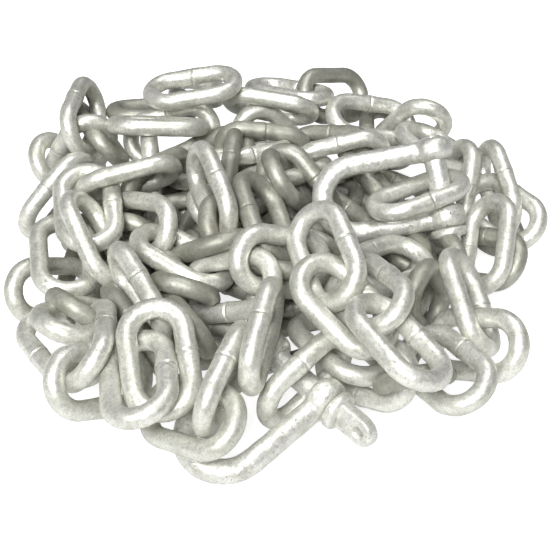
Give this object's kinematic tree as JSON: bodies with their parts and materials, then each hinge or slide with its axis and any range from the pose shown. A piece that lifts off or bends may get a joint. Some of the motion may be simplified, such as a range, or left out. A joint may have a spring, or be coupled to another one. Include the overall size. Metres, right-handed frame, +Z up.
{
  "type": "heap of steel chain",
  "caption": "Loose mound of galvanised short welded-link steel chain with a forged D-shackle on each end of the run",
  "frame": {"origin": "the middle of the underside of the whole box, on the floor that the heap lies on", "axes": "+X runs to the right as the picture shows the heap; +Y runs back, away from the viewer; +Z is up and is the heap's shortest extent"},
  "size_m": [0.3048, 0.3258, 0.0957],
  "materials": {
    "galvanised_links": "hot-dip galvanised, satin grey-white zinc with dull patches",
    "galvanised_shackles": "hot-dip galvanised forging, bright satin zinc",
    "buried_links": "the same zinc in deep shade"
  },
  "bodies": {
    "root": {"buried_core": "buried_links", "link_01": "galvanised_links", "link_02": "galvanised_links", "link_03": "galvanised_links", "link_04": "galvanised_links", "link_05": "galvanised_links", "link_06": "galvanised_links", "link_07": "galvanised_links", "link_08": "galvanised_links", "link_09": "galvanised_links", "link_10": "galvanised_links", "link_11": "galvanised_links", "link_12": "galvanised_links", "link_13": "galvanised_links", "link_14": "galvanised_links", "link_15": "galvanised_links", "link_16": "galvanised_links", "link_17": "galvanised_links", "link_18": "galvanised_links", "link_19": "galvanised_links", "link_20": "galvanised_links", "link_22": "galvanised_links", "link_23": "galvanised_links", "link_27": "galvanised_links", "link_28": "galvanised_links", "link_30": "galvanised_links", "link_33": "galvanised_links", "link_34": "galvanised_links", "link_35": "galvanised_links", "link_38": "galvanised_links", "link_39": "galvanised_links", "link_41": "galvanised_links", "link_42": "galvanised_links", "link_44": "galvanised_links", "link_45": "galvanised_links", "link_46": "galvanised_links", "link_47": "galvanised_links", "link_48": "galvanised_links", "link_49": "galvanised_links", "link_50": "galvanised_links", "link_54": "galvanised_links", "link_56": "galvanised_links", "link_58": "galvanised_links", "link_59": "galvanised_links", "link_60": "galvanised_links", "link_62": "galvanised_links", "link_63": "galvanised_links", "link_64": "galvanised_links", "link_65": "galvanised_links", "link_66": "galvanised_links", "link_67": "galvanised_links", "link_69": "galvanised_links", "link_70": "galvanised_links", "link_71": "galvanised_links", "link_76": "galvanised_links", "link_80": "galvanised_links", "shackle_1_bow": "galvanised_shackles", "shackle_1_pin": "galvanised_shackles", "shackle_2_bow": "galvanised_shackles", "shackle_2_pin": "galvanised_shackles"}
  },
  "joints": []
}
